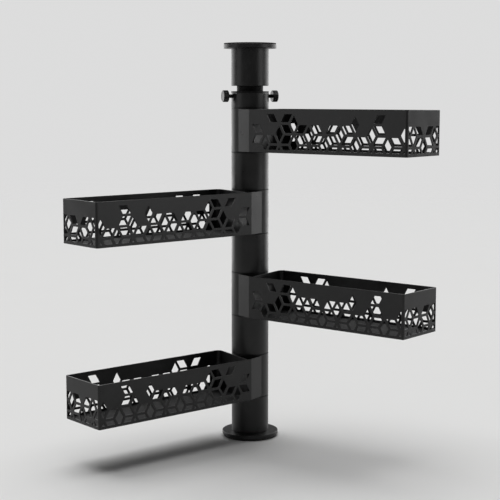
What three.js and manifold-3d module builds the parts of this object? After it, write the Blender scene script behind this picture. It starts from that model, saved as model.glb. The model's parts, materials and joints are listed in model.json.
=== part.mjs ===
// Spice carousel: a telescopic steel column that stands on a worktop and is braced against
// the underside of a wall unit. Four lattice baskets are stacked on it, and each one swivels
// on its own about the column.
//
// Units are millimetres and +Z is up. The origin is the middle of the underside of the base
// pad, on the column's axis. The viewer's side is -Y.

import * as THREE from "three";
import { mergeGeometries, mergeVertices } from "three/addons/utils/BufferGeometryUtils.js";
import Module from "manifold-3d";

const wasm = await Module();
wasm.setup();

// ---------------------------------------------------------------- driving dimensions

const HEIGHT = 618.5; // worktop to wall unit, as set
const GAP = 0.3; // left between pieces that touch

const SLEEVE_R = 29.1; // hubs, spacers, collar and top sleeve are all tubes of this radius
const SLEEVE_BORE_R = 25.4; // spacers and collar, over the column
const COLUMN_R = 25;
const COLUMN_BORE_R = 20.9;
const INNER_R = 20.4; // telescopic tube
const INNER_BORE_R = 18.4;
const INNER_TUBE_FOOT_Z = 385;
const TOP_SLEEVE_WALL = 2;
const GUIDE_RING = 2.5; // thickness of the ring that closes the column's mouth
const GUIDE_BORE_R = 21; // guide ring and top sleeve, round the telescopic tube

const COLLAR_TOP_Z = 545; // upper face of the guide ring
const TOP_SLEEVE_LENGTH = 57;

const BASE = { flangeR: 44.2, flange: 4.9, padR: 42.2, pad: 3.2, plugR: COLUMN_BORE_R - GAP };
const HEAD = { flangeR: 40.8, flange: 6.1, padR: 40.4, pad: 1.5, plugR: INNER_BORE_R - GAP };
const EDGE_CHAMFER = 0.4; // on the flanges and the guide ring
const SCREW_R = 4; // M8 countersunk
const SCREW_HEAD_R = 8.2;
const SCREW_HEAD_RIM = 0.2;
const SCREW_PLAY = 0.4; // round the screw in its hole
const SCREW_RECESS = 0.1; // from the flange's face to the screw's head
const SCREW_LENGTH = 24;
const PLUG_LENGTH = 21.3;

const BASKET_HEIGHT = 64.8;
const BASKET_LENGTH = 280.9;
const BASKET_WIDTH = 88.5;
const BASKET_FLOOR_Z = [68, 197.5, 327, 453]; // underside of each floor, from the bottom tier
const SWING_DEG = [40, 39.5, 40, 39.1]; // how far each basket is turned to the viewer
const SHEET = 1.5;
const FRONT_Y = 38.4; // outer face of the front wall, from the column's axis
const CORNER_R = 3;
const BACK_CORNER_R = 8;
const INNER_LEAN = THREE.MathUtils.degToRad(9); // the inner wall leans against the hub
const FLAP_LENGTH = 28.3; // it ends a gap away from the hub
const FLAP_BEND = THREE.MathUtils.degToRad(15.7);

const HUB_OVERHANG = 1; // the hub stands this much past its basket, top and bottom
const HUB_WALL = 1.5;
const BUSH_R = 27.2;
const BUSH_BORE_R = 25.5;
const BUSH_LENGTH = 11;
const BUSH_FLANGE_R = 28.9;
const BUSH_FLANGE = 0.8;

const CELL = 18.2; // side of a rhombus of the lattice
const ROW = (CELL * Math.sqrt(3)) / 2; // height of one row
const COLUMN_PITCH = 1.5 * CELL;
const WEB = 3.7; // metal left between two openings
const TOP_BORDER = 4.9; // from the basket's top edge to the lattice's first line
const BOTTOM_RIM = 4.5;
const SIDE_RIM = 4;
const BACK_RIM = 13; // start of the back wall, left solid
const FIRST_COLUMN_LEFT = 27.8; // lattice's first column, from the inner wall
const FIRST_COLUMN_RIGHT = 30.2; // it starts further out on the baskets that reach right
const TALL_COLUMNS = [2, 6]; // these even columns have one more diamond, higher up
// Bands of openings between two columns, counted from the top, from the inner wall outwards.
const LONG_WALL_BANDS = [
  [1, 2],
  [0, 2, 3],
  [0, 1, 2, 3],
  [1, 2, 3],
  [1, 2, 3],
  [1, 2, 3],
  [1, 2, 3],
  [2, 3],
  [0, 1, 2, 3],
  [2, 3],
];
// The end wall has three columns, and leaning cells on both sides of each.
const END_COLUMNS = [1, 2, 3];
const MIDDLE_COLUMN = 2;
const END_GAPS = [1, 2, 3, 4];
const END_WALL_BANDS = [1, 2, 3];

const THUMBSCREW_Z = 537.5;
const THUMBSCREW_TURN = THREE.MathUtils.degToRad(18);
const STUD_R = 3;
const STUD_HOLE_R = 3.3;
const STUD_FROM = 24.3;
const STUD_TO = 42.3;
const KNOB_R = 9;
const KNOB_FROM = 35.8;
const KNOB_TO = 44.3;
const KNOB_CHAMFER = 0.6;
const SHOE_R = 2.9;
const SHOE_FROM = 20.8;
const SHOE_TO = 24;

const ROUND = 32; // facets round a tube
const HIDDEN_ROUND = 24;
const SMALL_ROUND = 16;
const BEND_STEPS = 3; // facets in a bend of the sheet
const QUARTER = Math.PI / 2;
const PASS = 1; // how far a cutter runs past the sheet on each side
const WELD = 1e-4; // vertices closer than this are one

// ---------------------------------------------------------------- materials

const BLACK = 0x151517;
const powderCoat = () =>
  new THREE.MeshStandardMaterial({ color: BLACK, roughness: 0.38, metalness: 0.3 });
const bareSteel = () =>
  new THREE.MeshStandardMaterial({ color: 0x8a8a88, roughness: 0.35, metalness: 1 });
const nylon = () =>
  new THREE.MeshStandardMaterial({ color: 0x1a1a1a, roughness: 0.6, metalness: 0 });
const rubber = () =>
  new THREE.MeshStandardMaterial({ color: 0x101010, roughness: 0.9, metalness: 0 });

// ---------------------------------------------------------------- shape helpers

// A closed three.js geometry as a solid that can be joined and cut.
function toSolid(geometry) {
  const bare = new THREE.BufferGeometry();
  bare.setAttribute("position", geometry.getAttribute("position"));
  bare.setIndex(geometry.index);
  const merged = mergeVertices(bare, WELD);
  return new wasm.Manifold(
    new wasm.Mesh({
      numProp: 3,
      vertProperties: new Float32Array(merged.getAttribute("position").array),
      triVerts: new Uint32Array(merged.index.array),
    }),
  );
}

function toGeometry(solid) {
  const { vertProperties, triVerts } = solid.getMesh();
  const geometry = new THREE.BufferGeometry();
  geometry.setAttribute("position", new THREE.BufferAttribute(vertProperties, 3));
  geometry.setIndex(new THREE.BufferAttribute(triVerts, 1));
  geometry.computeVertexNormals();
  return geometry;
}

// Turns a profile of [radius, z] points about the Z axis.
function turned(profile, segments = ROUND) {
  const points = profile.map(([radius, z]) => new THREE.Vector2(radius, z));
  return new THREE.LatheGeometry(points, segments).rotateX(Math.PI / 2);
}

function tubeGeometry(outerR, boreR, z0, z1, segments = ROUND) {
  const profile = [
    [boreR, z0],
    [outerR, z0],
    [outerR, z1],
    [boreR, z1],
    [boreR, z0],
  ];
  return turned(profile, segments);
}

// A thin sleeve whose far end is closed down to a narrower bore.
function lippedSleeve(outerR, wall, lipBoreR, z0, z1) {
  const boreR = outerR - wall;
  return turned([
    [boreR, z0],
    [outerR, z0],
    [outerR, z1],
    [lipBoreR, z1],
    [lipBoreR, z1 - wall],
    [boreR, z1 - wall],
    [boreR, z0],
  ]);
}

function named(name, geometry, material) {
  const mesh = new THREE.Mesh(geometry, material);
  mesh.name = name;
  return mesh;
}

// ---------------------------------------------------------------- end fittings

// Distance from a pad's face to the end of the tubes that stand on its flange.
const tubeEnd = ({ pad, flange }) => pad + GAP + flange + GAP;

// Pad, flange, countersunk screw and threaded plug, built up from z = 0. The same set, turned
// over, closes the other end of the column.
function endFitting(end, sizes) {
  const { flangeR, padR, plugR } = sizes;
  const flangeZ = sizes.pad + GAP;
  const flangeTop = flangeZ + sizes.flange;
  const sinkR = SCREW_HEAD_R + SCREW_PLAY;
  const holeR = SCREW_R + SCREW_PLAY;
  const sinkZ = flangeZ + SCREW_PLAY;
  const screwZ = flangeZ + SCREW_RECESS;
  const rimZ = screwZ + SCREW_HEAD_RIM;

  const fitting = new THREE.Group();
  const pad = turned([
    [0, 0],
    [padR, 0],
    [padR, sizes.pad],
    [0, sizes.pad],
  ]);
  const flange = turned([
    [sinkR, flangeZ],
    [flangeR - EDGE_CHAMFER, flangeZ],
    [flangeR, flangeZ + EDGE_CHAMFER],
    [flangeR, flangeTop - EDGE_CHAMFER],
    [flangeR - EDGE_CHAMFER, flangeTop],
    [holeR, flangeTop],
    [holeR, sinkZ + sinkR - holeR],
    [sinkR, sinkZ],
    [sinkR, flangeZ],
  ]);
  const screw = turned(
    [
      [0, screwZ],
      [SCREW_HEAD_R, screwZ],
      [SCREW_HEAD_R, rimZ],
      [SCREW_R, rimZ + SCREW_HEAD_R - SCREW_R],
      [SCREW_R, screwZ + SCREW_LENGTH],
      [0, screwZ + SCREW_LENGTH],
    ],
    SMALL_ROUND,
  );
  const plugZ = tubeEnd(sizes);
  const plug = tubeGeometry(plugR, holeR, plugZ, plugZ + PLUG_LENGTH, HIDDEN_ROUND);
  fitting.add(
    named(`${end}_pad`, pad, rubber()),
    named(`${end}_flange`, flange, powderCoat()),
    named(`${end}_screw`, screw, bareSteel()),
    named(`${end}_plug`, plug, bareSteel()),
  );
  return fitting;
}

// ---------------------------------------------------------------- column

// A cylinder across the column, where the two thumbscrews' holes go.
function thumbscrewBore() {
  const length = 2 * (SLEEVE_R + PASS);
  const bore = new THREE.CylinderGeometry(STUD_HOLE_R, STUD_HOLE_R, length, SMALL_ROUND);
  bore.rotateZ(Math.PI / 2);
  bore.rotateZ(THUMBSCREW_TURN);
  bore.translate(0, 0, THUMBSCREW_Z);
  return toSolid(bore);
}

function seamBelow(tier) {
  return BASKET_FLOOR_Z[tier] - HUB_OVERHANG - GAP - BUSH_FLANGE - GAP;
}

function seamAbove(tier) {
  return BASKET_FLOOR_Z[tier] + BASKET_HEIGHT + HUB_OVERHANG + GAP + BUSH_FLANGE + GAP;
}

// The plastic ring on the column's mouth, chamfered round its upper edge.
function guideRingGeometry(z0) {
  return turned([
    [GUIDE_BORE_R, z0],
    [SLEEVE_R, z0],
    [SLEEVE_R, COLLAR_TOP_Z - EDGE_CHAMFER],
    [SLEEVE_R - EDGE_CHAMFER, COLLAR_TOP_Z],
    [GUIDE_BORE_R, COLLAR_TOP_Z],
    [GUIDE_BORE_R, z0],
  ]);
}

function fixedColumn() {
  const column = new THREE.Group();
  const topTier = BASKET_FLOOR_Z.length - 1;
  const ringZ = COLLAR_TOP_Z - GUIDE_RING;
  const columnTop = ringZ - GAP;
  const bore = thumbscrewBore();

  column.add(endFitting("base", BASE));

  const tube = toSolid(tubeGeometry(COLUMN_R, COLUMN_BORE_R, tubeEnd(BASE), columnTop));
  column.add(named("column_tube", toGeometry(tube.subtract(bore)), bareSteel()));

  const collar = toSolid(tubeGeometry(SLEEVE_R, SLEEVE_BORE_R, seamAbove(topTier), columnTop));
  column.add(named("clamp_collar", toGeometry(collar.subtract(bore)), powderCoat()));
  column.add(named("guide_ring", guideRingGeometry(ringZ), nylon()));

  BASKET_FLOOR_Z.forEach((_, tier) => {
    const z0 = tier === 0 ? tubeEnd(BASE) : seamAbove(tier - 1);
    const spacer = tubeGeometry(SLEEVE_R, SLEEVE_BORE_R, z0, seamBelow(tier));
    column.add(named(`spacer_sleeve_${tier + 1}`, spacer, powderCoat()));
  });
  return column;
}

// ---------------------------------------------------------------- telescopic head

// Built upside down from the pad's face, like the base, and turned over in one piece.
function telescopicHead() {
  const head = new THREE.Group();
  const z0 = tubeEnd(HEAD);
  const tube = tubeGeometry(INNER_R, INNER_BORE_R, z0, HEIGHT - INNER_TUBE_FOOT_Z);
  const sleeve = lippedSleeve(SLEEVE_R, TOP_SLEEVE_WALL, GUIDE_BORE_R, z0, z0 + TOP_SLEEVE_LENGTH);
  head.add(endFitting("head", HEAD));
  head.add(named("telescopic_tube", tube, powderCoat()));
  head.add(named("top_sleeve", sleeve, powderCoat()));
  head.rotation.x = Math.PI;
  head.position.z = HEIGHT;
  return head;
}

// ---------------------------------------------------------------- thumbscrews

// Along +X from the column's axis, then turned to its own side.
function thumbscrew(label, turn) {
  const screw = new THREE.Group();
  const alongX = (profile) => turned(profile, SMALL_ROUND).rotateY(Math.PI / 2);
  const shoe = alongX([
    [0, SHOE_FROM],
    [SHOE_R, SHOE_FROM],
    [SHOE_R, SHOE_TO],
    [0, SHOE_TO],
  ]);
  const stud = alongX([
    [0, STUD_FROM],
    [STUD_R, STUD_FROM],
    [STUD_R, STUD_TO],
    [0, STUD_TO],
  ]);
  const knob = alongX([
    [0, STUD_TO + GAP],
    [STUD_HOLE_R, STUD_TO + GAP],
    [STUD_HOLE_R, KNOB_FROM],
    [KNOB_R - KNOB_CHAMFER, KNOB_FROM],
    [KNOB_R, KNOB_FROM + KNOB_CHAMFER],
    [KNOB_R, KNOB_TO - KNOB_CHAMFER],
    [KNOB_R - KNOB_CHAMFER, KNOB_TO],
    [0, KNOB_TO],
  ]);
  screw.add(
    named(`thumbscrew_${label}_shoe`, shoe, nylon()),
    named(`thumbscrew_${label}_stud`, stud, bareSteel()),
    named(`thumbscrew_${label}_knob`, knob, powderCoat()),
  );
  screw.rotation.z = turn;
  screw.position.z = THUMBSCREW_Z;
  return screw;
}

// ---------------------------------------------------------------- lattice

// A diamond stands on its point; it is centred where a column crosses a line of the lattice.
function diamond(s, line) {
  const half = CELL / 2;
  const corners = [
    [0, ROW],
    [-half, 0],
    [0, -ROW],
    [half, 0],
  ];
  return { s, depth: TOP_BORDER + line * ROW, corners };
}

// A leaning cell fills the band between two lines, beside a column. lean is 1 for one whose
// top is shifted outwards and -1 for one whose top is shifted inwards.
function leaningCell(s, band, lean) {
  const long = (3 * CELL) / 4;
  const short = CELL / 4;
  const top = ROW / 2;
  const corners = [
    [lean * long, top],
    [-lean * short, top],
    [-lean * long, -top],
    [lean * short, -top],
  ];
  return { s, depth: TOP_BORDER + (band + 0.5) * ROW, corners };
}

// The cells round each column and in the gap before it. position(k) places column k.
function latticeCells(columns, position, bandsBefore, isTall) {
  const cells = [];
  columns.forEach((k) => {
    const odd = k % 2 !== 0;
    const lines = odd ? [2, 4] : isTall(k) ? [1, 3] : [3];
    lines.forEach((line) => cells.push(diamond(position(k), line)));
  });
  [...bandsBefore].forEach(([k, bands]) =>
    bands.forEach((band) => {
      const lean = (k - 1 + band) % 2 === 0 ? -1 : 1;
      cells.push(leaningCell(position(k) - COLUMN_PITCH / 2, band, lean));
    }),
  );
  return cells;
}

// Prisms of all the cells, shrunk by the web and trimmed to the window between two places
// along the wall. They run from y = 0 to y = -depth.
function latticeCutter(cells, from, to, depth) {
  const shrink = 1 - WEB / ROW;
  const prisms = cells.map(({ s, depth: down, corners }) => {
    const points = corners.map(
      ([x, y]) => new THREE.Vector2(s + shrink * x, BASKET_HEIGHT - down + shrink * y),
    );
    return new THREE.ExtrudeGeometry(new THREE.Shape(points), { depth, bevelEnabled: false });
  });
  const windowHeight = BASKET_HEIGHT - BOTTOM_RIM;
  const window = new THREE.BoxGeometry(to - from, windowHeight, depth + PASS);
  window.translate((from + to) / 2, BOTTOM_RIM + windowHeight / 2, depth / 2);
  const clipped = toSolid(mergeGeometries(prisms)).intersect(toSolid(window));
  return toGeometry(clipped).rotateX(Math.PI / 2);
}

// ---------------------------------------------------------------- baskets

const INNER_X = SLEEVE_R + GAP; // the inner wall's outer face is this far from the axis
const END_X = INNER_X + BASKET_LENGTH;
const BACK_Y = FRONT_Y - BASKET_WIDTH;

// Where the inner wall is at a given y of the plan, at a depth below its outer face.
function innerWallX(y, depth) {
  return (INNER_X + depth + y * Math.sin(INNER_LEAN)) / Math.cos(INNER_LEAN);
}

// Centre of the back corner's bend, and the direction in which it ends on the inner wall.
const BEND_Y = BACK_Y + BACK_CORNER_R;
const BEND_X = innerWallX(BEND_Y, BACK_CORNER_R);
const BEND_END = -2 * QUARTER - INNER_LEAN;

// Plan of the folded strip, starting at the end of its mounting flap and following the
// outside to the end of the inner wall, then back along the inside.
function stripPlan() {
  const along = new THREE.Vector2(-Math.cos(FLAP_BEND), -Math.sin(FLAP_BEND));
  const inward = new THREE.Vector2(Math.sin(FLAP_BEND), -Math.cos(FLAP_BEND));
  const fold = new THREE.Vector2(INNER_X, FRONT_Y);
  const flapEnd = fold.clone().addScaledVector(along, FLAP_LENGTH);
  const flapEndInside = flapEnd.clone().addScaledVector(inward, SHEET);
  const foldInsideX = INNER_X + SHEET * Math.tan(FLAP_BEND / 2);
  const wallEndY = FRONT_Y - SHEET - GAP;
  const wallEnd = new THREE.Vector2(innerWallX(wallEndY, 0), wallEndY);
  const across = new THREE.Vector2(Math.cos(INNER_LEAN), -Math.sin(INNER_LEAN));
  const wallEndInside = wallEnd.clone().addScaledVector(across, SHEET);
  const plan = new THREE.Shape();

  plan.moveTo(flapEnd.x, flapEnd.y);
  plan.lineTo(fold.x, fold.y);
  plan.lineTo(END_X - CORNER_R, FRONT_Y);
  plan.absarc(END_X - CORNER_R, FRONT_Y - CORNER_R, CORNER_R, QUARTER, 0, true);
  plan.lineTo(END_X, BACK_Y + CORNER_R);
  plan.absarc(END_X - CORNER_R, BACK_Y + CORNER_R, CORNER_R, 0, -QUARTER, true);
  plan.lineTo(BEND_X, BACK_Y);
  plan.absarc(BEND_X, BEND_Y, BACK_CORNER_R, -QUARTER, BEND_END, true);
  plan.lineTo(wallEnd.x, wallEnd.y);

  const small = CORNER_R - SHEET;
  plan.lineTo(wallEndInside.x, wallEndInside.y);
  plan.absarc(BEND_X, BEND_Y, BACK_CORNER_R - SHEET, BEND_END, -QUARTER, false);
  plan.lineTo(END_X - CORNER_R, BACK_Y + SHEET);
  plan.absarc(END_X - CORNER_R, BACK_Y + CORNER_R, small, -QUARTER, 0, false);
  plan.lineTo(END_X - SHEET, FRONT_Y - CORNER_R);
  plan.absarc(END_X - CORNER_R, FRONT_Y - CORNER_R, small, 0, QUARTER, false);
  plan.lineTo(foldInsideX, FRONT_Y - SHEET);
  plan.lineTo(flapEndInside.x, flapEndInside.y);
  plan.closePath();
  return plan;
}

function basketWallGeometry(firstColumn) {
  const strip = toSolid(
    new THREE.ExtrudeGeometry(stripPlan(), {
      depth: BASKET_HEIGHT,
      bevelEnabled: false,
      curveSegments: BEND_STEPS,
    }),
  );
  const cut = SHEET + 2 * PASS;

  const longColumns = LONG_WALL_BANDS.map((_, k) => k);
  const longCells = latticeCells(
    longColumns,
    (k) => firstColumn + k * COLUMN_PITCH,
    LONG_WALL_BANDS.entries(),
    (k) => TALL_COLUMNS.includes(k),
  );
  const lastS = BASKET_LENGTH - SIDE_RIM;
  const front = latticeCutter(longCells, SHEET + PASS, lastS, cut);
  front.translate(INNER_X, FRONT_Y + PASS, 0);
  const back = latticeCutter(longCells, BACK_RIM, lastS, cut);
  back.translate(INNER_X, BACK_Y + SHEET + PASS, 0);

  const endCells = latticeCells(
    END_COLUMNS,
    (k) => BASKET_WIDTH / 2 + (k - MIDDLE_COLUMN) * COLUMN_PITCH,
    END_GAPS.map((k) => [k, END_WALL_BANDS]),
    () => false,
  );
  const end = latticeCutter(endCells, SIDE_RIM, BASKET_WIDTH - SIDE_RIM, cut);
  end.rotateZ(-Math.PI / 2);
  end.translate(END_X + PASS, FRONT_Y, 0);

  const cutters = [front, back, end];
  return toGeometry(cutters.reduce((solid, cutter) => solid.subtract(toSolid(cutter)), strip));
}

// The floor fills the strip's inside, a gap short of its walls.
function basketFloorGeometry() {
  const inset = SHEET + GAP;
  const x1 = END_X - inset;
  const y0 = BACK_Y + inset;
  const y1 = FRONT_Y - inset;
  const small = CORNER_R - inset;
  const plan = new THREE.Shape();
  plan.absarc(BEND_X, BEND_Y, BACK_CORNER_R - inset, BEND_END, -QUARTER, false);
  plan.lineTo(x1 - small, y0);
  plan.absarc(x1 - small, y0 + small, small, -QUARTER, 0, false);
  plan.lineTo(x1, y1 - small);
  plan.absarc(x1 - small, y1 - small, small, 0, QUARTER, false);
  plan.lineTo(innerWallX(y1, inset), y1);
  plan.closePath();
  return new THREE.ExtrudeGeometry(plan, {
    depth: SHEET,
    bevelEnabled: false,
    curveSegments: BEND_STEPS,
  });
}

// Bush from z = 0: a flange that runs against the spacer, then the body inside the hub.
function bushGeometry() {
  const bodyTop = BUSH_FLANGE + BUSH_LENGTH;
  return turned(
    [
      [BUSH_BORE_R, 0],
      [BUSH_FLANGE_R, 0],
      [BUSH_FLANGE_R, BUSH_FLANGE],
      [BUSH_R, BUSH_FLANGE],
      [BUSH_R, bodyTop],
      [BUSH_BORE_R, bodyTop],
      [BUSH_BORE_R, 0],
    ],
    HIDDEN_ROUND,
  );
}

const leftWallGeometry = basketWallGeometry(FIRST_COLUMN_LEFT);
const rightWallGeometry = basketWallGeometry(FIRST_COLUMN_RIGHT);
const floorGeometry = basketFloorGeometry();

// One storey: hub with a bush in each end, and the basket welded to it. Baskets of even
// storeys reach out to the right; the others are their mirror images and reach out to the left.
function storey(tier) {
  const label = `tier_${tier + 1}`;
  const floorZ = BASKET_FLOOR_Z[tier];
  const hubZ0 = floorZ - HUB_OVERHANG;
  const hubZ1 = floorZ + BASKET_HEIGHT + HUB_OVERHANG;
  const group = new THREE.Group();

  const hub = tubeGeometry(SLEEVE_R, SLEEVE_R - HUB_WALL, hubZ0, hubZ1);
  const lowerBush = named(`${label}_lower_bush`, bushGeometry(), nylon());
  lowerBush.position.z = hubZ0 - GAP - BUSH_FLANGE;
  const upperBush = named(`${label}_upper_bush`, bushGeometry(), nylon());
  upperBush.rotation.x = Math.PI;
  upperBush.position.z = hubZ1 + GAP + BUSH_FLANGE;
  group.add(named(`${label}_hub_sleeve`, hub, powderCoat()), lowerBush, upperBush);

  const basket = new THREE.Group();
  const reachesRight = tier % 2 === 1;
  const wallGeometry = reachesRight ? rightWallGeometry : leftWallGeometry;
  const swing = THREE.MathUtils.degToRad(SWING_DEG[tier]);
  basket.add(
    named(`${label}_basket_wall`, wallGeometry.clone(), powderCoat()),
    named(`${label}_basket_floor`, floorGeometry.clone(), powderCoat()),
  );
  basket.scale.y = reachesRight ? -1 : 1;
  basket.rotation.z = reachesRight ? -swing : Math.PI + swing;
  basket.position.z = floorZ;
  group.add(basket);
  return group;
}

// ---------------------------------------------------------------- assembly

const carousel = new THREE.Group();
carousel.add(fixedColumn(), telescopicHead());
BASKET_FLOOR_Z.forEach((_, tier) => carousel.add(storey(tier)));
carousel.add(thumbscrew("left", Math.PI + THUMBSCREW_TURN), thumbscrew("right", THUMBSCREW_TURN));

export default carousel;
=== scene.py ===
import json
import math

import bmesh
import bpy
from mathutils import Matrix, Vector

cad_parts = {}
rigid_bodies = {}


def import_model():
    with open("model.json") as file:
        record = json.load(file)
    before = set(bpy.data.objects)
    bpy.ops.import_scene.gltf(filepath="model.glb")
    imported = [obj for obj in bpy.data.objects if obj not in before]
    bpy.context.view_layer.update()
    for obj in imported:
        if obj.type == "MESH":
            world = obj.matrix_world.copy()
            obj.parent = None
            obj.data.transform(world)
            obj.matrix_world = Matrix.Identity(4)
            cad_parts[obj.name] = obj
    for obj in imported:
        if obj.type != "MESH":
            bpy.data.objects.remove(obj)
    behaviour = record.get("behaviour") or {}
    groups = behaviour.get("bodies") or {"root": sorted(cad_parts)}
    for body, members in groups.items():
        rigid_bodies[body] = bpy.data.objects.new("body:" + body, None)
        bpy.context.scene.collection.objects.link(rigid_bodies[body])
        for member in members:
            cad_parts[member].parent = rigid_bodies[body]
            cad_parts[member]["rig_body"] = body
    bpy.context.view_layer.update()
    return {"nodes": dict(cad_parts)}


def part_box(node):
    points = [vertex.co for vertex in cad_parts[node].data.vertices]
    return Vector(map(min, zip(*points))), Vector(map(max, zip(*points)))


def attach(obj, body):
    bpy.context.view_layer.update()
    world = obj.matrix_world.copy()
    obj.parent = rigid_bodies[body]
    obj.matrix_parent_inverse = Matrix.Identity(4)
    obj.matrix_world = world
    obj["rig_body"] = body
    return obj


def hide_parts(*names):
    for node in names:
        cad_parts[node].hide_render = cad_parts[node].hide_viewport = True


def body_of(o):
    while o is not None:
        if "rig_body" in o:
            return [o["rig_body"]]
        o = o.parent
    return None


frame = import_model()

# Looks of the spice carousel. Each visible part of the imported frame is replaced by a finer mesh
# of the same size, and every part gets its finish. Lengths are in metres; MM marks the ones that
# are given in millimetres. The viewer's side is -Y.

# ------------------------------------------------------------------ driving dimensions

MM = 0.001
QUARTER = math.pi / 2
TINY = 1e-7  # lengths under this count as nothing

GAP = 0.3 * MM
SLEEVE_BORE_R = 25.4 * MM
INNER_BORE_R = 18.4 * MM
GUIDE_BORE_R = 21 * MM
HUB_WALL = 1.5 * MM
BUSH_BORE_R = 25.5 * MM
BUSH_R = 27.2 * MM
BUSH_FLANGE = 0.8 * MM
SLEEVE_WALL = 2 * MM
SCREW_HOLE_R = 4.4 * MM
SCREW_SINK_R = 8.6 * MM
SCREW_SINK_STEP = 0.4 * MM
EDGE_CHAMFER = 0.4 * MM
FLANGE_EASE = 0.15 * MM
PAD_GROOVE_PITCH = 3 * MM
PAD_GROOVE_DEPTH = 0.35 * MM

THUMBSCREW_TURN = math.radians(18)
STUD_R = 3 * MM
STUD_HOLE_R = 3.3 * MM
THREAD_PITCH = 1 * MM
THREAD_DEPTH = 0.5 * MM
STUD_FROM = 24.3 * MM
STUD_TO = 42.3 * MM
KNOB_R = 9 * MM
KNOB_FROM = 35.8 * MM
KNOB_TO = 44.3 * MM
KNOB_RIM = 0.7 * MM  # bevel between the knurled rim and the faces
KNOB_DISH = 0.25 * MM
KNOB_EASE = 0.2 * MM
KNURLS = 72
KNURL_DEPTH = 0.16 * MM

SHEET = 1.5 * MM
FRONT_Y = 38.4 * MM
BASKET_LENGTH = 280.9 * MM
BASKET_WIDTH = 88.5 * MM
FLAP_LENGTH = 28.3 * MM
FLAP_BEND = math.radians(15.7)
FOLD_R = 3 * MM
CORNER_R = 3 * MM
BACK_CORNER_R = 8 * MM
INNER_LEAN = math.radians(9)  # the inner wall leans against the hub
SWING = [math.radians(a) for a in (40, 39.5, 40, 39.1)]

CELL = 18.2 * MM
ROW = CELL * math.sin(math.pi / 3)
COLUMN_PITCH = 1.5 * CELL
WEB = 3.7 * MM
TOP_BORDER = 4.9 * MM
BOTTOM_RIM = 4.5 * MM
SIDE_RIM = 4 * MM
BACK_RIM = 13 * MM  # solid start of the back wall, next to the inner wall
HOLE_MARGIN = 1 * MM
OPENING_CORNER_R = 0.5 * MM
SMALLEST_OPENING = 1 * MM * MM
FIRST_COLUMN = {"left": 27.8 * MM, "right": 30.2 * MM}
TALL_COLUMNS = (2, 6)
# Bands of openings between two columns, counted from the top, from the inner wall outwards.
LONG_WALL_BANDS = (
    (1, 2),
    (0, 2, 3),
    (0, 1, 2, 3),
    (1, 2, 3),
    (1, 2, 3),
    (1, 2, 3),
    (1, 2, 3),
    (2, 3),
    (0, 1, 2, 3),
    (2, 3),
)
END_WALL_BANDS = (1, 2, 3)
END_COLUMNS = (1, 2, 3)
END_GAPS = (1, 2, 3, 4)  # the gap before each of these columns has openings
MIDDLE_COLUMN = 2

ROUND = 128  # facets round a tube
EASE = 0.3 * MM  # radius of a turned part's edges
SEAM_EASE = 0.03 * MM  # radius where two sleeves meet
RIM_EASE = 0.4 * MM  # radius of the sleeves' open ends
CUT_EASE = 0.2 * MM  # radius of the sheet's cut edges
SHARP_ANGLE = math.radians(40)  # edges sharper than this stay crisp
BEND_STEP_DEG = 9  # turn of one facet of a bend
STRIP_CORNER_R = 0.8 * MM
FLOOR_GAP = 0.03 * MM  # between the floor and the walls round it
FLOOR_FRONT_R = 0.3 * MM
MERGE_DISTANCE = 0.002 * MM

BEAD_R = 1.1 * MM
BEAD_RIPPLE = 1.6 * MM
BEAD_SWELL = 0.10  # of the radius
BEAD_RINGS = 6  # in one ripple
BEAD_SPOKES = 12
HUB_STITCHES = 3
HUB_STITCH_HALF = 0.32  # of the distance between two stitches
INNER_WELD_X = 0.6 * MM  # from the inner wall, towards the hub
INNER_WELD_Y = 8.5 * MM
FLAP_WELD_X = 5.6 * MM
FLAP_WELD_OUT = 0.3 * MM
FLOOR_BEAD_R = 0.9 * MM
FLOOR_WELD_INSET = 0.25 * MM
FLOOR_STITCH_HALF = 5 * MM
LONG_SIDE_STITCHES = (0.12, 0.37, 0.63, 0.88)  # shares of the basket's length
SHORT_SIDE_STITCHES = (0.3, 0.7)  # shares of its width

CAMERA_DISTANCE = 1.952
CAMERA_HEIGHT = 0.5369
CAMERA_TILT = math.radians(83)  # from straight down
LENS_MM = 90
SENSOR_MM = 36
AIM_HEIGHT = 0.4  # the softboxes face this point of the axis
STUDIO_FLOOR_R = 8
FLOOR_FADE = (1.5, 6)  # from the axis, where the floor starts and ends to fade
FLOOR_PALE = ((0.778, 0.778, 0.773), (0.782, 0.782, 0.777))

# ------------------------------------------------------------------ materials


def new_material(name):
    material = bpy.data.materials.new(name)
    material.use_nodes = True
    return material, material.node_tree, material.node_tree.nodes["Principled BSDF"]


def object_noise(tree, scale, detail=3.0):
    """Noise fixed to the part, from 0 to 1. scale is features per metre."""
    place = tree.nodes.new("ShaderNodeTexCoord")
    noise = tree.nodes.new("ShaderNodeTexNoise")
    noise.inputs["Scale"].default_value = scale
    noise.inputs["Detail"].default_value = detail
    tree.links.new(place.outputs["Object"], noise.inputs["Vector"])
    return noise.outputs["Fac"]


def spread(tree, value, low, high, from_low=0.3, from_high=0.7):
    """Maps a value onto the range from low to high."""
    mapped = tree.nodes.new("ShaderNodeMapRange")
    mapped.inputs["From Min"].default_value = from_low
    mapped.inputs["From Max"].default_value = from_high
    mapped.inputs["To Min"].default_value = low
    mapped.inputs["To Max"].default_value = high
    tree.links.new(value, mapped.inputs["Value"])
    return mapped.outputs["Result"]


def mixed(tree, share, first, second):
    """Colour between first and second. share is a socket."""
    mix = tree.nodes.new("ShaderNodeMix")
    mix.data_type = "RGBA"
    mix.inputs["A"].default_value = (*first, 1)
    mix.inputs["B"].default_value = (*second, 1)
    tree.links.new(share, mix.inputs["Factor"])
    return mix.outputs["Result"]


def plus(tree, first, second):
    add = tree.nodes.new("ShaderNodeMath")
    add.operation = "ADD"
    tree.links.new(first, add.inputs[0])
    tree.links.new(second, add.inputs[1])
    return add.outputs["Value"]


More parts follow.
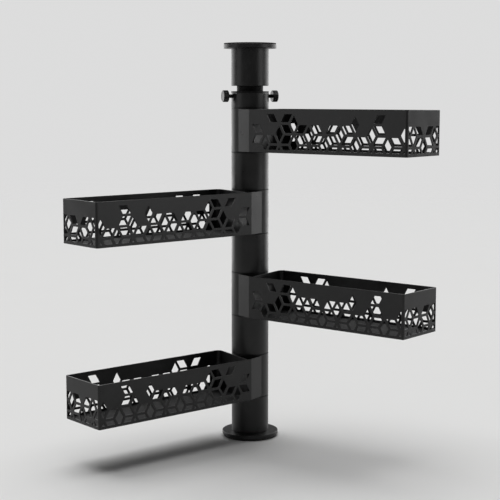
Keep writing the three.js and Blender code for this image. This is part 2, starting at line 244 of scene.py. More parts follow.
def edge_share(tree, radius):
    """From 0 on open surface to 1 on edges sharper than the radius."""
    bevel = tree.nodes.new("ShaderNodeBevel")
    bevel.samples = 4
    bevel.inputs["Radius"].default_value = radius
    surface = tree.nodes.new("ShaderNodeNewGeometry")
    facing = tree.nodes.new("ShaderNodeVectorMath")
    facing.operation = "DOT_PRODUCT"
    tree.links.new(bevel.outputs["Normal"], facing.inputs[0])
    tree.links.new(surface.outputs["Normal"], facing.inputs[1])
    return spread(tree, facing.outputs["Value"], 1, 0, 0.75, 0.99)


def bumped(tree, shader, height, depth, strength=1.0):
    bump = tree.nodes.new("ShaderNodeBump")
    bump.inputs["Distance"].default_value = depth
    bump.inputs["Strength"].default_value = strength
    tree.links.new(height, bump.inputs["Height"])
    tree.links.new(bump.outputs["Normal"], shader.inputs["Normal"])


def powder_coat(name, specular, low_roughness, high_roughness, edge_wear=0.6):
    """Satin black powder coat: orange peel, uneven sheen and a little wear along the edges."""
    material, tree, shader = new_material(name)
    wear = edge_share(tree, 0.6 * MM)
    cloud = object_noise(tree, 35)
    shader.inputs["Specular IOR Level"].default_value = specular
    coat = mixed(tree, spread(tree, cloud, 0, 1), (0.007, 0.007, 0.0072), (0.015, 0.015, 0.0153))
    worn = tree.nodes.new("ShaderNodeMix")
    worn.data_type = "RGBA"
    worn.inputs["B"].default_value = (0.03, 0.03, 0.031, 1)
    tree.links.new(coat, worn.inputs["A"])
    tree.links.new(spread(tree, wear, 0, edge_wear, 0, 1), worn.inputs["Factor"])
    tree.links.new(worn.outputs["Result"], shader.inputs["Base Color"])
    sheen = spread(tree, cloud, low_roughness, high_roughness)
    grain = spread(tree, object_noise(tree, 420), -0.02, 0.02)
    tree.links.new(plus(tree, sheen, grain), shader.inputs["Roughness"])
    peel = plus(tree, object_noise(tree, 750, 1), spread(tree, object_noise(tree, 3500, 1), 0, 0.3))
    bumped(tree, shader, peel, 0.012 * MM)
    return material


def nylon():
    material, tree, shader = new_material("nylon")
    cloud = object_noise(tree, 200)
    shader.inputs["Specular IOR Level"].default_value = 0.15
    tree.links.new(
        mixed(tree, spread(tree, cloud, 0, 1), (0.003, 0.003, 0.003), (0.007, 0.007, 0.007)),
        shader.inputs["Base Color"],
    )
    tree.links.new(spread(tree, cloud, 0.42, 0.52), shader.inputs["Roughness"])
    bumped(tree, shader, object_noise(tree, 4000, 1), 0.01 * MM)
    return material


def bare_steel():
    """Zinc-plated steel with fine turning marks."""
    material, tree, shader = new_material("bare_steel")
    cloud = object_noise(tree, 150)
    shader.inputs["Metallic"].default_value = 1
    tree.links.new(
        mixed(tree, spread(tree, cloud, 0, 1), (0.30, 0.30, 0.29), (0.42, 0.41, 0.40)),
        shader.inputs["Base Color"],
    )
    tree.links.new(spread(tree, cloud, 0.28, 0.42), shader.inputs["Roughness"])
    bumped(tree, shader, object_noise(tree, 2500, 2), 0.008 * MM)
    return material


def black_steel():
    """Blackened steel of the thumbscrews and the column tube."""
    material, tree, shader = new_material("black_steel")
    cloud = object_noise(tree, 300)
    shader.inputs["Metallic"].default_value = 0.6
    tree.links.new(
        mixed(tree, spread(tree, cloud, 0, 1), (0.012, 0.012, 0.012), (0.03, 0.03, 0.029)),
        shader.inputs["Base Color"],
    )
    tree.links.new(spread(tree, cloud, 0.35, 0.5), shader.inputs["Roughness"])
    bumped(tree, shader, object_noise(tree, 2500, 2), 0.008 * MM)
    return material


def rubber():
    material, tree, shader = new_material("rubber")
    cloud = object_noise(tree, 90)
    tree.links.new(
        mixed(tree, spread(tree, cloud, 0, 1), (0.010, 0.010, 0.010), (0.02, 0.02, 0.02)),
        shader.inputs["Base Color"],
    )
    tree.links.new(spread(tree, cloud, 0.75, 0.9), shader.inputs["Roughness"])
    bumped(tree, shader, object_noise(tree, 1800, 4), 0.05 * MM)
    return material


POWDER_COAT = powder_coat("powder_coat", 0.32, 0.28, 0.40)
COLUMN_COAT = powder_coat("column_coat", 0.32, 0.28, 0.40, edge_wear=0.05)
TUBE_COAT = powder_coat("tube_coat", 0.05, 0.44, 0.54)
FLOOR_COAT = powder_coat("floor_coat", 0.2, 0.62, 0.72)
NYLON = nylon()
BARE_STEEL = bare_steel()
BLACK_STEEL = black_steel()
RUBBER = rubber()

# ------------------------------------------------------------------ mesh helpers


def piece_of(name, bm, material, body, replaced=()):
    """A finished piece: smooth across bends, crisp at edges, and riding on its body."""
    mesh = bpy.data.meshes.new(name)
    bmesh.ops.recalc_face_normals(bm, faces=bm.faces)
    bm.to_mesh(mesh)
    bm.free()
    mesh.shade_smooth()
    mesh.set_sharp_from_angle(angle=SHARP_ANGLE)
    mesh.materials.append(material)
    piece = bpy.data.objects.new(name, mesh)
    bpy.context.scene.collection.objects.link(piece)
    weighted = piece.modifiers.new("weighted_normals", "WEIGHTED_NORMAL")
    weighted.keep_sharp = True
    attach(piece, body)
    if replaced:
        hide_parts(*replaced)
    return piece


def stand_in(node, bm, material):
    """The finished piece that replaces one CAD node and rides on the node's body."""
    body = body_of(frame["nodes"][node])[0]
    return piece_of(f"{node}_finished", bm, material, body, [node])


def rounded(corners, radii, steps=4):
    """A closed outline with an arc at each corner. radii is one radius or one for each corner."""
    if not isinstance(radii, (list, tuple)):
        radii = [radii] * len(corners)
    outline = []
    for index, (corner, radius) in enumerate(zip(corners, radii)):
        here = Vector(corner)
        back = Vector(corners[index - 1]) - here
        ahead = Vector(corners[(index + 1) % len(corners)]) - here
        half = back.angle(ahead) / 2
        reach = min(radius / math.tan(half), 0.45 * back.length, 0.45 * ahead.length)
        if reach < TINY:
            outline.append(tuple(here))
            continue
        arc_r = reach * math.tan(half)
        between = (back.normalized() + ahead.normalized()).normalized()
        centre = here + between * (arc_r / math.sin(half))
        first = here + back.normalized() * reach - centre
        last = here + ahead.normalized() * reach - centre
        for step in range(steps + 1):
            spoke = first.lerp(last, step / steps).normalized()
            outline.append(tuple(centre + spoke * arc_r))
    return outline


def turned(profile, segments=ROUND, depth_of=None):
    """A closed profile of (radius, z) points turned about Z. depth_of(index, segment) cuts in."""
    bm = bmesh.new()
    rings = []
    for index, (radius, z) in enumerate(profile):
        if radius < TINY:
            rings.append([bm.verts.new((0, 0, z))])
            continue
        ring = []
        for segment in range(segments):
            angle = 2 * math.pi * segment / segments
            r = radius - (depth_of(index, segment) if depth_of else 0)
            ring.append(bm.verts.new((r * math.cos(angle), r * math.sin(angle), z)))
        rings.append(ring)
    for lower, upper in zip(rings, rings[1:] + rings[:1]):
        if len(lower) == 1 and len(upper) == 1:
            continue
        for i in range(segments):
            j = i + 1
            corners = [
                lower[i % len(lower)],
                lower[j % len(lower)],
                upper[j % len(upper)],
                upper[i % len(upper)],
            ]
            bm.faces.new(dict.fromkeys(corners))  # a centre point counts once
    return bm


def tube(bore_r, outer_r, z0, z1, ease):
    return turned(rounded([(bore_r, z0), (outer_r, z0), (outer_r, z1), (bore_r, z1)], ease))


def outer_radius(node):
    low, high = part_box(node)
    return max(high.x, high.y)


def tube_like(node, bore_r, ease):
    low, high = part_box(node)
    return tube(bore_r, outer_radius(node), low.z, high.z, ease)


# ------------------------------------------------------------------ column and head


def flange(node, pad_side):
    """Round flange, countersunk from its pad side. pad_side is -1 for below and 1 for above."""
    low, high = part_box(node)
    radius = outer_radius(node)
    outer_z, inner_z = (low.z, high.z) if pad_side < 0 else (high.z, low.z)
    inward = 1 if pad_side < 0 else -1
    corners = [
        (SCREW_SINK_R, outer_z),
        (radius - EDGE_CHAMFER, outer_z),
        (radius, outer_z + inward * EDGE_CHAMFER),
        (radius, inner_z - inward * EDGE_CHAMFER),
        (radius - EDGE_CHAMFER, inner_z),
        (SCREW_HOLE_R, inner_z),
        (SCREW_HOLE_R, outer_z + inward * (SCREW_SINK_STEP + SCREW_SINK_R - SCREW_HOLE_R)),
        (SCREW_SINK_R, outer_z + inward * SCREW_SINK_STEP),
    ]
    stand_in(node, turned(rounded(corners, FLANGE_EASE)), POWDER_COAT)


def pad(node, pad_side):
    """Rubber disc with concentric grooves in its outer face."""
    low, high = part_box(node)
    radius = outer_radius(node)
    outer_z, inner_z = (low.z, high.z) if pad_side < 0 else (high.z, low.z)
    groove_z = outer_z - pad_side * PAD_GROOVE_DEPTH
    profile = [
        (0, inner_z),
        (radius - EASE, inner_z),
        (radius, inner_z + pad_side * EASE),
        (radius, groove_z),
        (radius - EASE, outer_z),
    ]
    half = PAD_GROOVE_PITCH / 6
    groove = radius - PAD_GROOVE_PITCH
    while groove > PAD_GROOVE_PITCH:
        profile += [(groove + half, outer_z), (groove + half / 2, groove_z)]
        profile += [(groove - half / 2, groove_z), (groove - half, outer_z)]
        groove -= PAD_GROOVE_PITCH
    profile.append((0, outer_z))
    stand_in(node, turned(profile), RUBBER)


def clamp_collar():
    """The column's top sleeve, drilled through for the two thumbscrews."""
    eases = [SEAM_EASE, SEAM_EASE, RIM_EASE, SEAM_EASE]
    piece = stand_in("clamp_collar", tube_like("clamp_collar", SLEEVE_BORE_R, eases), COLUMN_COAT)
    low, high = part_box("thumbscrew_left_shoe")
    bm = bmesh.new()
    bmesh.ops.create_cone(
        bm, cap_ends=True, segments=48, radius1=STUD_HOLE_R, radius2=STUD_HOLE_R, depth=0.1
    )
    place = Matrix.Translation((0, 0, (low.z + high.z) / 2))
    place = place @ Matrix.Rotation(THUMBSCREW_TURN, 4, "Z") @ Matrix.Rotation(QUARTER, 4, "Y")
    bm.transform(place)
    mesh = bpy.data.meshes.new("drill")
    bm.to_mesh(mesh)
    bm.free()
    drill = bpy.data.objects.new("drill", mesh)
    bpy.context.scene.collection.objects.link(drill)
    cut = piece.modifiers.new("stud_holes", "BOOLEAN")
    cut.operation = "DIFFERENCE"
    cut.object = drill
    piece.modifiers.move(1, 0)
    seen = piece.evaluated_get(bpy.context.evaluated_depsgraph_get())
    drilled = bpy.data.meshes.new_from_object(seen)
    piece.modifiers.remove(cut)
    piece.data = drilled
    bpy.data.objects.remove(drill)


def column_and_head():
    flange("base_flange", -1)
    flange("head_flange", 1)
    pad("base_pad", -1)
    pad("head_pad", 1)
    for tier in range(1, len(SWING) + 1):
        node = f"spacer_sleeve_{tier}"
        stand_in(node, tube_like(node, SLEEVE_BORE_R, SEAM_EASE), COLUMN_COAT)
    clamp_collar()

    low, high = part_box("guide_ring")
    ring_r = outer_radius("guide_ring")
    ring = [(GUIDE_BORE_R, low.z), (ring_r, low.z), (ring_r, high.z), (GUIDE_BORE_R, high.z)]
    stand_in("guide_ring", turned(rounded(ring, [SEAM_EASE, SEAM_EASE, EASE / 2, EASE])), NYLON)

    stand_in("telescopic_tube", tube_like("telescopic_tube", INNER_BORE_R, EASE), TUBE_COAT)

    low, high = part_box("top_sleeve")
    sleeve_r = outer_radius("top_sleeve")
    sleeve = [
        (GUIDE_BORE_R, low.z),
        (sleeve_r, low.z),
        (sleeve_r, high.z),
        (sleeve_r - SLEEVE_WALL, high.z),
        (sleeve_r - SLEEVE_WALL, low.z + SLEEVE_WALL),
        (GUIDE_BORE_R, low.z + SLEEVE_WALL),
    ]
    eases = [EASE, RIM_EASE, SEAM_EASE, SEAM_EASE, 0, 0]
    stand_in("top_sleeve", turned(rounded(sleeve, eases)), COLUMN_COAT)


# ------------------------------------------------------------------ thumbscrews


def threaded_rod(length):
    """A screw thread along +Z from z = 0, with chamfered ends."""
    segments = 40
    rings_per_turn = 8
    bm = bmesh.new()
    steps = round(length / THREAD_PITCH * rings_per_turn)
    rings = []
    for step in range(steps + 1):
        z = length * step / steps
        from_end = min(z, length - z)
        ring = []
        for segment in range(segments):
            share = segment / segments
            tooth = abs(2 * ((z / THREAD_PITCH - share) % 1) - 1)
            r = min(STUD_R - THREAD_DEPTH * tooth, STUD_R - THREAD_DEPTH + from_end)
            angle = 2 * math.pi * share
            ring.append(bm.verts.new((r * math.cos(angle), r * math.sin(angle), z)))
        rings.append(ring)
    for lower, upper in zip(rings, rings[1:]):
        for i in range(segments):
            j = (i + 1) % segments
            bm.faces.new((lower[i], lower[j], upper[j], upper[i]))
    bm.faces.new(rings[0])
    bm.faces.new(rings[-1])
    return bm


def knob():
    """Disc along +Z with a knurled rim, a dished outer face and a blind hole for the stud."""
    corners = [
        (0, KNOB_TO - KNOB_DISH),
        (KNOB_R - 4 * KNOB_RIM, KNOB_TO - KNOB_DISH),
        (KNOB_R - 3 * KNOB_RIM, KNOB_TO),
        (KNOB_R - KNOB_RIM, KNOB_TO),
        (KNOB_R, KNOB_TO - KNOB_RIM),
        (KNOB_R, KNOB_FROM + KNOB_RIM),
        (KNOB_R - KNOB_RIM, KNOB_FROM),
        (STUD_HOLE_R, KNOB_FROM),
        (STUD_HOLE_R, STUD_TO + GAP),
        (0, STUD_TO + GAP),
    ]
    profile = [corners[0], *rounded(corners, KNOB_EASE, 2)[3:-3], corners[-1]]

    def depth_of(index, segment):
        radius, z = profile[index]
        on_rim = radius > KNOB_R - 0.05 * MM and KNOB_FROM + KNOB_RIM < z < KNOB_TO - KNOB_RIM
        return KNURL_DEPTH if on_rim and segment % 2 else 0

    return turned(profile, 2 * KNURLS, depth_of)


def thumbscrew(side, turn):
    low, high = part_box(f"thumbscrew_{side}_stud")
    z = (low.z + high.z) / 2
    place = Matrix.Translation((0, 0, z))
    place = place @ Matrix.Rotation(turn, 4, "Z") @ Matrix.Rotation(QUARTER, 4, "Y")
    stud = threaded_rod(STUD_TO - STUD_FROM)
    stud.transform(place @ Matrix.Translation((0, 0, STUD_FROM)))
    stand_in(f"thumbscrew_{side}_stud", stud, BLACK_STEEL)
    head = knob()
    head.transform(place)
    stand_in(f"thumbscrew_{side}_knob", head, POWDER_COAT)


# ------------------------------------------------------------------ the folded strip

INNER_X = outer_radius("clamp_collar") + GAP
END_X = INNER_X + BASKET_LENGTH
BACK_Y = FRONT_Y - BASKET_WIDTH
BASKET_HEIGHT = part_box("tier_1_basket_wall")[1].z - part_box("tier_1_basket_wall")[0].z


def on_inner_wall(y, depth):
    """Plan position in the leaning inner wall, at a depth below its outer face."""
    return Vector(((INNER_X + depth + y * math.sin(INNER_LEAN)) / math.cos(INNER_LEAN), y))


class Span:
    """A straight or a right-hand bend along the strip's outer face. A straight has bend_r 0."""

    def __init__(self, at, length, start, heading, bend_r=0.0):
        self.at = at
        self.length = length
        self.start = start
        self.heading = heading
        self.left = Vector((-heading.y, heading.x))
        self.bend_r = bend_r

    def station(self, point):
        """Distance along the flat strip of a place on this straight."""
        return self.at + (point - self.start).dot(self.heading)

    def place(self, u, outward):
        """Plan position. outward is the distance from the middle of the sheet."""
        offset = outward - SHEET / 2
        if not self.bend_r:
            return self.start + self.heading * (u - self.at) + self.left * offset
        angle = (u - self.at) / (self.bend_r - SHEET / 2)
        spoke = self.left * math.cos(angle) + self.heading * math.sin(angle)
        return self.start - self.left * self.bend_r + spoke * (self.bend_r + offset)


def strip_spans():
    """The strip from the end of its flap round the basket to the end of the inner wall."""
    fold = Vector((INNER_X, FRONT_Y))
    flap_end = fold - FLAP_LENGTH * Vector((math.cos(FLAP_BEND), math.sin(FLAP_BEND)))
    corners = [
        flap_end,
        fold,
        Vector((END_X, FRONT_Y)),
        Vector((END_X, BACK_Y)),
        on_inner_wall(BACK_Y, 0),
        on_inner_wall(FRONT_Y - SHEET - GAP, 0),
    ]
    bends = [FOLD_R, CORNER_R, CORNER_R, BACK_CORNER_R]
    spans = []
    at = 0.0
    start = corners[0]
    for before, corner, after, bend_r in zip(corners, corners[1:], corners[2:], bends):
        heading = (corner - before).normalized()
        next_heading = (after - corner).normalized()
        turn = heading.angle(next_heading)
        reach = bend_r * math.tan(turn / 2)
        straight = (corner - before).length - reach - (start - before).length
        spans.append(Span(at, straight, start, heading))
        at += straight
        bend = turn * (bend_r - SHEET / 2)
        spans.append(Span(at, bend, corner - heading * reach, heading, bend_r))
        at += bend
        start = corner + next_heading * reach
    last = (corners[-1] - start).length
    spans.append(Span(at, last, start, (corners[-1] - start).normalized()))
    return spans


FLAP, FOLD, FRONT, FRONT_CORNER, END, END_CORNER, BACK, BACK_CORNER, INNER = strip_spans()
SPANS = (FLAP, FOLD, FRONT, FRONT_CORNER, END, END_CORNER, BACK, BACK_CORNER, INNER)
STRIP_LENGTH = INNER.at + INNER.length


def span_at(u):
    return next((span for span in SPANS if u <= span.at + span.length), INNER)


# ------------------------------------------------------------------ lattice


def diamond(s, line):
    """A rhombus that stands on its point, where a column crosses a line of the lattice."""
    z = BASKET_HEIGHT - TOP_BORDER - line * ROW
    return s, z, [(0, ROW), (-CELL / 2, 0), (0, -ROW), (CELL / 2, 0)]


def leaning_cell(s, band, lean):
    """A rhombus in the band between two lines. lean is 1 if its top is shifted outwards."""
    z = BASKET_HEIGHT - TOP_BORDER - (band + 0.5) * ROW
    long = 0.75 * CELL
    short = 0.25 * CELL
    top = ROW / 2
    upper = [(lean * long, top), (-lean * short, top)]
    lower = [(-lean * long, -top), (lean * short, -top)]
    return s, z, upper + lower


def lattice_cells(columns, position, bands_before, tall_columns=()):
    """The cells round each column and in the gap before it. position(k) places column k."""
    cells = []
    for k in columns:
        lines = (2, 4) if k % 2 else (1, 3) if k in tall_columns else (3,)
        cells += [diamond(position(k), line) for line in lines]
    for k, bands in bands_before:
        for band in bands:
            lean = -1 if (k - 1 + band) % 2 == 0 else 1
            cells.append(leaning_cell(position(k) - COLUMN_PITCH / 2, band, lean))
    return cells


def clipped(polygon, axis, limit, keep_below):
    """The part of a convex polygon on one side of a line along the other axis."""
    kept = []
    for index, point in enumerate(polygon):
        before = polygon[index - 1]
        inside = (point[axis] <= limit) == keep_below
        was_inside = (before[axis] <= limit) == keep_below
        if inside != was_inside:
            share = (limit - before[axis]) / (point[axis] - before[axis])
            kept.append(tuple(b + share * (p - b) for b, p in zip(before, point)))
        if inside:
            kept.append(point)
    return kept


def polygon_area(polygon):
    pairs = zip(polygon, polygon[1:] + polygon[:1])
    return abs(sum(a[0] * b[1] - b[0] * a[1] for a, b in pairs)) / 2


def openings(cells, start, end):
    """Outlines of the openings between two places along a wall, with eased corners."""
    shrink = 1 - WEB / ROW
    outlines = []
    for s, z, corners in cells:
        polygon = [(s + shrink * x, z + shrink * y) for x, y in corners]
        for axis, limit, keep_below in ((0, start, False), (0, end, True), (1, BOTTOM_RIM, False)):
            polygon = clipped(polygon, axis, limit, keep_below)
        if len(polygon) > 2 and polygon_area(polygon) > SMALLEST_OPENING:
            outlines.append(rounded(polygon, OPENING_CORNER_R, 3))
    return outlines


def wall_openings(first_column):
    """Every opening of the flat strip, as outlines of (distance along the strip, z) points."""
    long_cells = lattice_cells(
        range(len(LONG_WALL_BANDS)),
        lambda k: first_column + k * COLUMN_PITCH,
        enumerate(LONG_WALL_BANDS),
        TALL_COLUMNS,
    )
    end_cells = lattice_cells(
        END_COLUMNS,
        lambda k: BASKET_WIDTH / 2 + (k - MIDDLE_COLUMN) * COLUMN_PITCH,
        [(k, END_WALL_BANDS) for k in END_GAPS],
    )
    last = BASKET_LENGTH - SIDE_RIM
    outward = Vector((1, 0))
    front_openings = openings(long_cells, SHEET + HOLE_MARGIN, last)
    back_openings = openings(long_cells, BACK_RIM, last)
    end_openings = openings(end_cells, SIDE_RIM, BASKET_WIDTH - SIDE_RIM)
    walls = (
        (FRONT, Vector((INNER_X, FRONT_Y)), outward, front_openings),
        (BACK, Vector((INNER_X, BACK_Y)), outward, back_openings),
        (END, Vector((END_X, FRONT_Y)), Vector((0, -1)), end_openings),
    )
    return [
        [(span.station(origin + along * s), z) for s, z in outline]
        for span, origin, along, outlines in walls
        for outline in outlines
    ]


def plate(outlines, thickness, ease):
    """A flat plate with holes, centred on z = 0, whose cut edges are rounded."""
    curve = bpy.data.curves.new("plate", "CURVE")
    curve.dimensions = "2D"
    curve.fill_mode = "BOTH"
    curve.extrude = thickness / 2 - ease
    curve.bevel_depth = ease
    curve.bevel_resolution = 1
    curve.offset = -ease
    for outline in outlines:
        spline = curve.splines.new("POLY")
        spline.points.add(len(outline) - 1)
        spline.use_cyclic_u = True
        for point, (x, y) in zip(spline.points, outline):
            point.co = (x, y, 0, 1)
    holder = bpy.data.objects.new("plate", curve)
    bpy.context.scene.collection.objects.link(holder)
    seen = holder.evaluated_get(bpy.context.evaluated_depsgraph_get())
    bm = bmesh.new()
    bm.from_mesh(seen.to_mesh())
    bpy.data.objects.remove(holder)
    bmesh.ops.remove_doubles(bm, verts=bm.verts, dist=MERGE_DISTANCE)
    return bm


def strip_mesh(first_column):
    """The whole folded strip in the basket's own frame: x outwards, y to the front."""
    blank = [(0, 0), (STRIP_LENGTH, 0), (STRIP_LENGTH, BASKET_HEIGHT), (0, BASKET_HEIGHT)]
    outline = rounded(blank, STRIP_CORNER_R)
    bm = plate([outline, *wall_openings(first_column)], SHEET, CUT_EASE)
    for span in SPANS:
        if span.bend_r:
            turn = math.degrees(span.length / (span.bend_r - SHEET / 2))
            steps = max(2, round(turn / BEND_STEP_DEG))
            for step in range(steps + 1):
                across = Vector((span.at + span.length * step / steps, 0, 0))
                everything = [*bm.verts, *bm.edges, *bm.faces]
                bmesh.ops.bisect_plane(
                    bm, geom=everything, plane_co=across, plane_no=(1, 0, 0), dist=TINY
                )
    for vert in bm.verts:
        u, z, outward = vert.co
        plan = span_at(u).place(u, outward)
        vert.co = (plan.x, plan.y, z)
    return bm


def floor_mesh():
    """The floor, which fills the strip's inside."""
    inset = SHEET + FLOOR_GAP
    small = CORNER_R - SHEET
    corners = [
        on_inner_wall(FRONT_Y - inset, inset),
        on_inner_wall(BACK_Y + inset, inset),
        (END_X - inset, BACK_Y + inset),
        (END_X - inset, FRONT_Y - inset),
    ]
    radii = [FLOOR_FRONT_R, BACK_CORNER_R - SHEET, small, small]
    bm = plate([rounded(corners, radii, 10)], SHEET, CUT_EASE)
    bm.transform(Matrix.Translation((0, 0, SHEET / 2)))
    return bm


# ------------------------------------------------------------------ weld seams


def bead(bm, start, end, radius=BEAD_R):
    """A rippled weld bead from start to end, with rounded ends."""
    along = (end - start).normalized()
    side = along.orthogonal().normalized()
    other = along.cross(side)
    length = (end - start).length
    steps = round(length / BEAD_RIPPLE * BEAD_RINGS)
    rings = []
    for step in range(1, steps):
        share = step / steps
        ripple = 1 + BEAD_SWELL * math.cos(share * length / BEAD_RIPPLE * 2 * math.pi)
        taper = min(1, share * length / radius, (1 - share) * length / radius)
        r = radius * ripple * math.sin(taper * QUARTER)
        centre = start.lerp(end, share)
        ring = []
        for spoke in range(BEAD_SPOKES):
            angle = 2 * math.pi * spoke / BEAD_SPOKES
            away = math.cos(angle) * side + math.sin(angle) * other
            ring.append(bm.verts.new(centre + r * away))
        rings.append(ring)
    for lower, upper in zip(rings, rings[1:]):
        for i in range(BEAD_SPOKES):
            j = (i + 1) % BEAD_SPOKES
            bm.faces.new((lower[i], lower[j], upper[j], upper[i]))
    bm.faces.new(rings[0])
    bm.faces.new(rings[-1])


def hub_weld_mesh():
    """Upright stitches in the corners between the hub, the flap and the inner wall."""
    bm = bmesh.new()
    hub_r = outer_radius("clamp_collar")
    to_wall = Matrix.Rotation(-INNER_LEAN, 2)
    corners = [
        to_wall @ Vector((INNER_X - INNER_WELD_X, -INNER_WELD_Y)),
        to_wall @ Vector((INNER_X - INNER_WELD_X, INNER_WELD_Y)),
        Vector((FLAP_WELD_X, hub_r + FLAP_WELD_OUT)),
    ]
    pitch = BASKET_HEIGHT / HUB_STITCHES
    half = HUB_STITCH_HALF * pitch
    for x, y in corners:
        for stitch in range(HUB_STITCHES):
            z = (stitch + 0.5) * pitch
            bead(bm, Vector((x, y, z - half)), Vector((x, y, z + half)))
    return bm


def floor_weld_mesh():
    """Short stitches along the seam between the floor and the walls."""
    bm = bmesh.new()
    inset = SHEET + FLOOR_WELD_INSET
    z = SHEET + FLOOR_WELD_INSET
    half = FLOOR_STITCH_HALF
    for share in LONG_SIDE_STITCHES:
        x = INNER_X + share * BASKET_LENGTH
        for y in (FRONT_Y - inset, BACK_Y + inset):
            bead(bm, Vector((x - half, y, z)), Vector((x + half, y, z)), FLOOR_BEAD_R)
    x = END_X - inset
    for share in SHORT_SIDE_STITCHES:
        y = BACK_Y + share * BASKET_WIDTH
        bead(bm, Vector((x, y - half, z)), Vector((x, y + half, z)), FLOOR_BEAD_R)
        start, end = (on_inner_wall(y + step, inset).to_3d() for step in (-half, half))
        start.z = end.z = z
        bead(bm, start, end, FLOOR_BEAD_R)
    return bm


# ------------------------------------------------------------------ storeys


def bush(node, flange_side):
    """Flanged plastic bush. flange_side is -1 for a flange below the hub and 1 for one above."""
    low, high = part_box(node)
    outer_z, inner_z = (low.z, high.z) if flange_side < 0 else (high.z, low.z)
    step = outer_z - flange_side * BUSH_FLANGE
    corners = [
        (BUSH_BORE_R, outer_z),
        (outer_radius(node), outer_z),
        (outer_radius(node), step),
        (BUSH_R, step),
        (BUSH_R, inner_z),
        (BUSH_BORE_R, inner_z),
    ]
    stand_in(node, turned(rounded(corners, SEAM_EASE)), NYLON)


def storey(index, strips):
    tier = f"tier_{index + 1}"
    side = "right" if index % 2 else "left"
    hub = f"{tier}_hub_sleeve"
    stand_in(hub, tube_like(hub, outer_radius(hub) - HUB_WALL, SEAM_EASE), COLUMN_COAT)
    bush(f"{tier}_lower_bush", -1)
    bush(f"{tier}_upper_bush", 1)

    place = Matrix.Translation((0, 0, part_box(f"{tier}_basket_wall")[0].z))
    if side == "right":
        place = place @ Matrix.Rotation(-SWING[index], 4, "Z") @ Matrix.Diagonal((1, -1, 1, 1))
    else:
        place = place @ Matrix.Rotation(math.pi + SWING[index], 4, "Z")
    strip = strips[side].copy()
    strip.transform(place)
    stand_in(f"{tier}_basket_wall", strip, POWDER_COAT)
    floor = floor_mesh()
    floor.transform(place)
    stand_in(f"{tier}_basket_floor", floor, FLOOR_COAT)
    for name, bm in (("hub_welds", hub_weld_mesh()), ("floor_welds", floor_weld_mesh())):
        bm.transform(place)
        piece_of(f"{tier}_{name}", bm, POWDER_COAT, tier)


# ------------------------------------------------------------------ hidden CAD nodes


def finish_hidden_nodes():
    finishes = {
        "column_tube": BLACK_STEEL,
        "base_screw": BARE_STEEL,
        "base_plug": BARE_STEEL,
        "head_screw": BARE_STEEL,
        "head_plug": BARE_STEEL,
        "thumbscrew_left_shoe": NYLON,
        "thumbscrew_right_shoe": NYLON,
    }
    for node, material in finishes.items():
        mesh = frame["nodes"][node].data
        mesh.materials.clear()
        mesh.materials.append(material)


# ------------------------------------------------------------------ studio


def studio_floor():
    """A wide pale matt floor that fades into the backdrop."""
    bm = bmesh.new()
    bmesh.ops.create_circle(bm, cap_ends=True, segments=96, radius=STUDIO_FLOOR_R)
    mesh = bpy.data.meshes.new("studio_floor")
    bm.to_mesh(mesh)
    bm.free()
    floor = bpy.data.objects.new("studio_floor", mesh)
    floor.location.z = -0.05 * MM
    bpy.context.scene.collection.objects.link(floor)
    material, tree, shader = new_material("studio_floor")
    cloud = spread(tree, object_noise(tree, 6), 0, 1)
    tree.links.new(mixed(tree, cloud, *FLOOR_PALE), shader.inputs["Base Color"])
    shader.inputs["Roughness"].default_value = 0.9
    shader.inputs["Specular IOR Level"].default_value = 0
    place = tree.nodes.new("ShaderNodeTexCoord")
    distance = tree.nodes.new("ShaderNodeVectorMath")
    distance.operation = "LENGTH"
    tree.links.new(place.outputs["Object"], distance.inputs[0])
    fade = spread(tree, distance.outputs["Value"], 1, 0, *FLOOR_FADE)
    tree.links.new(fade, shader.inputs["Alpha"])
    mesh.materials.append(material)


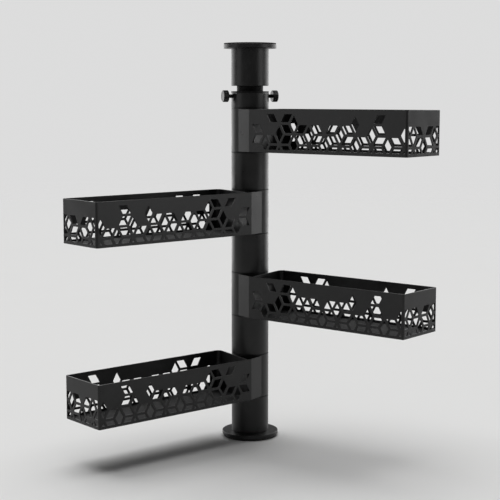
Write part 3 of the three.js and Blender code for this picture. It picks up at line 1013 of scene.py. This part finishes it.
def softbox(name, azimuth, centre_z, distance, width, height, radiance):
    """A soft panel that only shows as a reflection. azimuth is measured from the camera's side."""
    light = bpy.data.lights.new(name, "AREA")
    light.shape = "RECTANGLE"
    light.size = width
    light.size_y = height
    light.energy = radiance * math.pi * width * height
    lamp = bpy.data.objects.new(name, light)
    angle = math.radians(azimuth)
    lamp.location = (distance * math.sin(angle), -distance * math.cos(angle), centre_z)
    aim = Vector((0, 0, AIM_HEIGHT)) - lamp.location
    lamp.rotation_euler = aim.to_track_quat("-Z", "Y").to_euler()
    lamp.visible_camera = False
    lamp.visible_diffuse = False
    bpy.context.scene.collection.objects.link(lamp)


def sky_light(tilt, azimuth, strength):
    """A wide soft light from above, which lights the floor evenly."""
    light = bpy.data.lights.new("sky_light", "SUN")
    light.angle = math.radians(60)
    light.energy = strength
    lamp = bpy.data.objects.new("sky_light", light)
    lamp.rotation_euler = (math.radians(tilt), 0, math.radians(azimuth))
    bpy.context.scene.collection.objects.link(lamp)


def backdrop():
    """Pale to the eye, and dimmer as a source of light."""
    world = bpy.data.worlds.new("backdrop")
    world.use_nodes = True
    tree = world.node_tree
    background = tree.nodes["Background"]
    path = tree.nodes.new("ShaderNodeLightPath")
    shade = mixed(tree, path.outputs["Is Camera Ray"], (0.16, 0.16, 0.16), (0.72, 0.72, 0.72))
    tree.links.new(shade, background.inputs["Color"])
    bpy.context.scene.world = world


def camera():
    """Stands in front of the column and looks a little down at it."""
    data = bpy.data.cameras.new("camera")
    data.lens = LENS_MM
    data.sensor_width = SENSOR_MM
    eye = bpy.data.objects.new("camera", data)
    eye.location = (0, -CAMERA_DISTANCE, CAMERA_HEIGHT)
    eye.rotation_euler = (CAMERA_TILT, 0, 0)
    bpy.context.scene.collection.objects.link(eye)
    bpy.context.scene.camera = eye


# ------------------------------------------------------------------ assembly

column_and_head()
thumbscrew("left", math.pi + THUMBSCREW_TURN)
thumbscrew("right", THUMBSCREW_TURN)
strips_by_side = {side: strip_mesh(first) for side, first in FIRST_COLUMN.items()}
for tier_index in range(len(SWING)):
    storey(tier_index, strips_by_side)
finish_hidden_nodes()

studio_floor()
backdrop()
# name, azimuth in degrees, height of its centre, distance, width, height, radiance
softbox("rim_left", -139, 0.75, 1.6, 1.8, 1.5, 2.0)
softbox("rim_right", 137, 0.75, 1.6, 1.8, 1.5, 2.0)
softbox("side_left", -72, 0.85, 1.7, 1.0, 1.3, 0.9)
softbox("side_right", 70, 0.85, 1.7, 1.0, 1.3, 1.6)
sky_light(12, -160, 2.5)
camera()

bpy.context.scene.view_settings.view_transform = "Standard"
